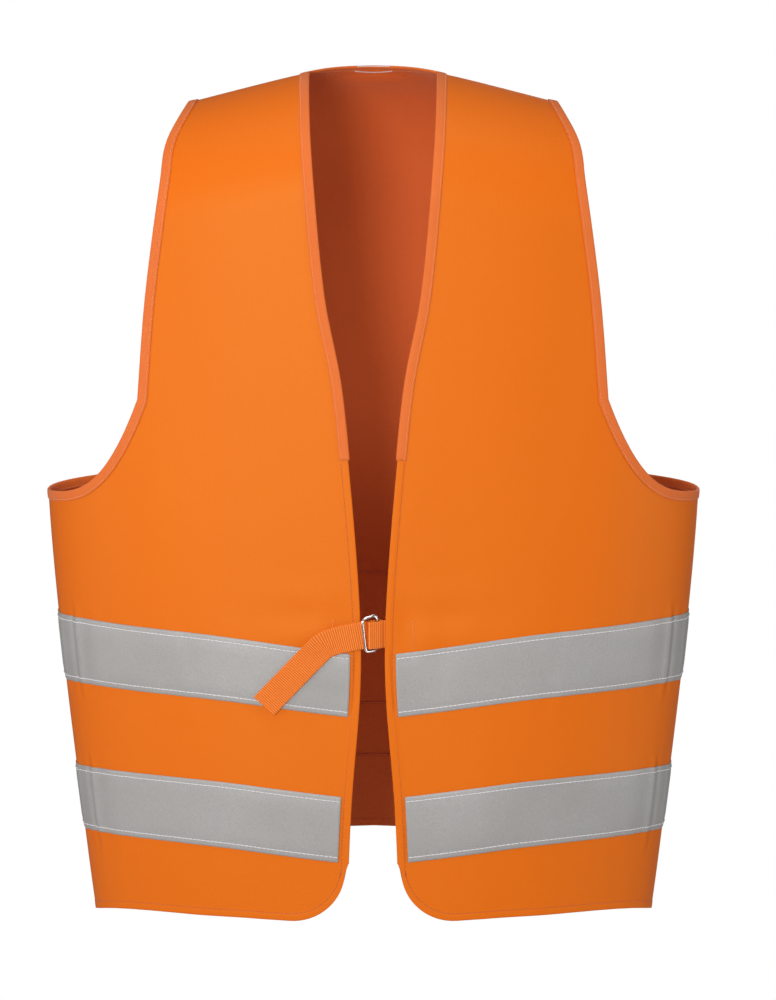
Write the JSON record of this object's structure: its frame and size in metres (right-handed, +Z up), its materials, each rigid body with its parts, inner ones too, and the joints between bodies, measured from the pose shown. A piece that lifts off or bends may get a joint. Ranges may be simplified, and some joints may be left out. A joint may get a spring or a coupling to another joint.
{
  "type": "high visibility vest",
  "caption": "Sleeveless high visibility safety vest with reflective tapes, bound neck and armholes, and an open front held by a webbing strap in wire rings",
  "frame": {"origin": "middle of the shoulder line, where the wearer's shoulders carry the vest", "axes": "+Z up, -Y the open front, +X the wearer's left"},
  "size_m": [0.4942, 0.2116, 0.641],
  "materials": {
    "fabric": "matte",
    "binding": "matte",
    "reflective_tape": "satin",
    "webbing": "satin",
    "ring_wire": "polished",
    "label": "matte"
  },
  "bodies": {
    "back": {"back_panel": "fabric", "neck_binding_back": "binding", "neck_label": "label", "armhole_binding_back_right": "binding", "armhole_binding_back_left": "binding", "upper_tape_back": "reflective_tape", "lower_tape_back": "reflective_tape"},
    "front_right": {"front_panel_right": "fabric", "neck_binding_right": "binding", "armhole_binding_front_right": "binding", "upper_tape_front_right": "reflective_tape", "lower_tape_front_right": "reflective_tape", "closure_strap": "webbing"},
    "front_left": {"front_panel_left": "fabric", "neck_binding_left": "binding", "armhole_binding_front_left": "binding", "upper_tape_front_left": "reflective_tape", "lower_tape_front_left": "reflective_tape", "ring_loop": "webbing"},
    "ring_front": {"d_ring_front": "ring_wire"},
    "ring_rear": {"d_ring_rear": "ring_wire"}
  },
  "joints": [
    {"name": "front_right_opening", "type": "hinge", "parent": "back", "child": "front_right", "pos_m": [-0.253, 0, -0.48], "axis": [-0.03, 0, -0.9996], "range_deg": [0, 45], "deforming": ["closure_strap"]},
    {"name": "front_left_opening", "type": "hinge", "parent": "back", "child": "front_left", "pos_m": [0.253, 0, -0.48], "axis": [-0.03, 0, 0.9996], "range_deg": [0, 45]},
    {"name": "ring_front_swing", "type": "hinge", "parent": "front_left", "child": "ring_front", "pos_m": [0.00285, -0.10455, -0.408], "axis": [0, 0, 1], "range_deg": [0, 35]},
    {"name": "ring_rear_swing", "type": "hinge", "parent": "front_left", "child": "ring_rear", "pos_m": [0.0035, -0.10205, -0.408], "axis": [0, 0, 1], "range_deg": [-1.5, 1.5]}
  ]
}
